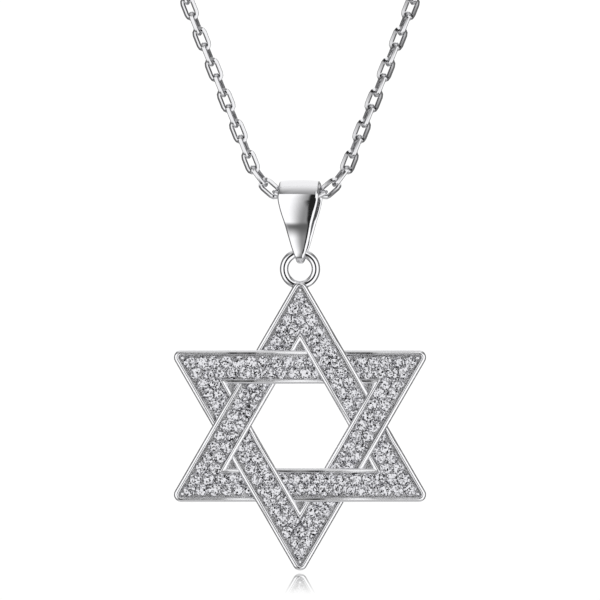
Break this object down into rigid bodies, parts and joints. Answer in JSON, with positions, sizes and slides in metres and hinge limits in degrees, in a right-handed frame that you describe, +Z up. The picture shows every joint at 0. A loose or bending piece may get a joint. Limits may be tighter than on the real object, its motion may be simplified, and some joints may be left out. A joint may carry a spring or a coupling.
{
  "type": "star pendant necklace",
  "caption": "Six-pointed star pendant of two interlaced triangular frames set with small round stones, hung by a ring and tapered bail on a fine oval-link cable chain with a plain clasp",
  "frame": {"origin": "inside of the chain loop at its top centre, on the underside of the clasp, where the loop rests on a neck or peg", "axes": "+Z up along the hanging necklace, +X to the right of the star seen from its front, -Y towards the viewer"},
  "size_m": [0.1068, 0.0054, 0.2234],
  "materials": {
    "chain_silver": "drawn silver wire, rhodium plated and bright",
    "polished_silver": "cast silver, mirror polished and rhodium plated",
    "clear_stones": "round brilliant-cut clear stones, held by small beads of the star's metal"
  },
  "bodies": {
    "chain": {"chain_left": "chain_silver", "chain_right": "chain_silver", "clasp": "chain_silver"},
    "bail": {"bail": "polished_silver"},
    "star": {"star": "polished_silver"}
  },
  "joints": [
    {"name": "bail_swing", "type": "hinge", "parent": "chain", "child": "bail", "pos_m": [0, 0, -0.18128], "axis": [0.9781, -0.2079, 0], "range_deg": [-75, 75]},
    {"name": "star_swing", "type": "hinge", "parent": "bail", "child": "star", "pos_m": [0, 0, -0.18694], "axis": [1, 0, 0], "range_deg": [-80, 80]}
  ]
}
